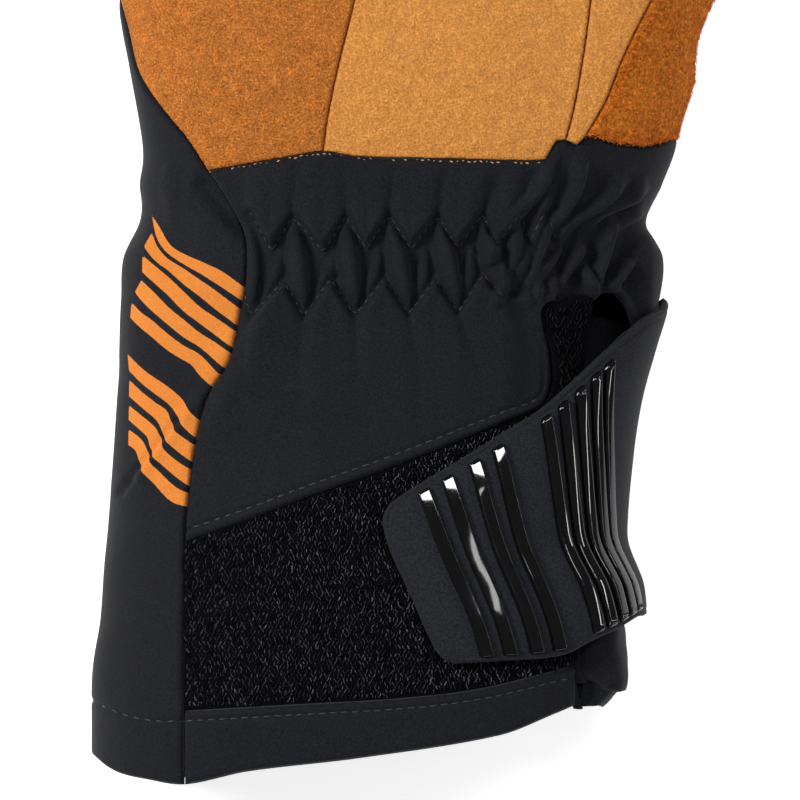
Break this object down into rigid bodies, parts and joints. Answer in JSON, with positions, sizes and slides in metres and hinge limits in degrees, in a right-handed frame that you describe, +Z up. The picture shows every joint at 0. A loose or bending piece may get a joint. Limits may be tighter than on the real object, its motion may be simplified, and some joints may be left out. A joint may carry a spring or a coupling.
{
  "type": "winter cycling glove",
  "caption": "Right-hand winter glove with leather palm, elastic wrist, hemmed cuff and a ribbed closure tab over a loop field.",
  "frame": {"origin": "middle of the glove's box in plan, on the surface that its back rests on", "axes": "+X to the thumb side, +Y to the fingertips, +Z up through the palm"},
  "size_m": [0.1564, 0.2978, 0.0476],
  "materials": {
    "softshell": "matt black softshell, close weave",
    "strap_cloth": "matt black laminated cloth",
    "loop": "black loop pile",
    "outer_leather": "brushed tan suede",
    "palm_leather": "light tan leather, fine grain",
    "suede": "dark tan suede, long nap",
    "silicone": "glossy black"
  },
  "bodies": {
    "root": {"side_panel": "softshell", "wrist_front": "softshell", "loop_patch": "loop", "hem_front": "softshell", "side_gusset": "softshell", "palm_outer": "outer_leather", "palm_centre": "palm_leather", "thumb_front": "palm_leather", "thumb_suede": "suede", "thumb_back": "softshell", "back_panel": "softshell", "strap": "strap_cloth", "index_front": "palm_leather", "index_back": "softshell", "middle_front": "palm_leather", "middle_back": "softshell", "ring_front": "palm_leather", "ring_back": "softshell", "little_front": "outer_leather", "little_back": "softshell", "grip_rib_1": "silicone", "grip_rib_2": "silicone", "grip_rib_3": "silicone", "grip_rib_4": "silicone", "grip_rib_5": "silicone", "grip_rib_6": "silicone", "grip_rib_7": "silicone", "grip_rib_8": "silicone", "grip_rib_9": "silicone"}
  },
  "joints": []
}
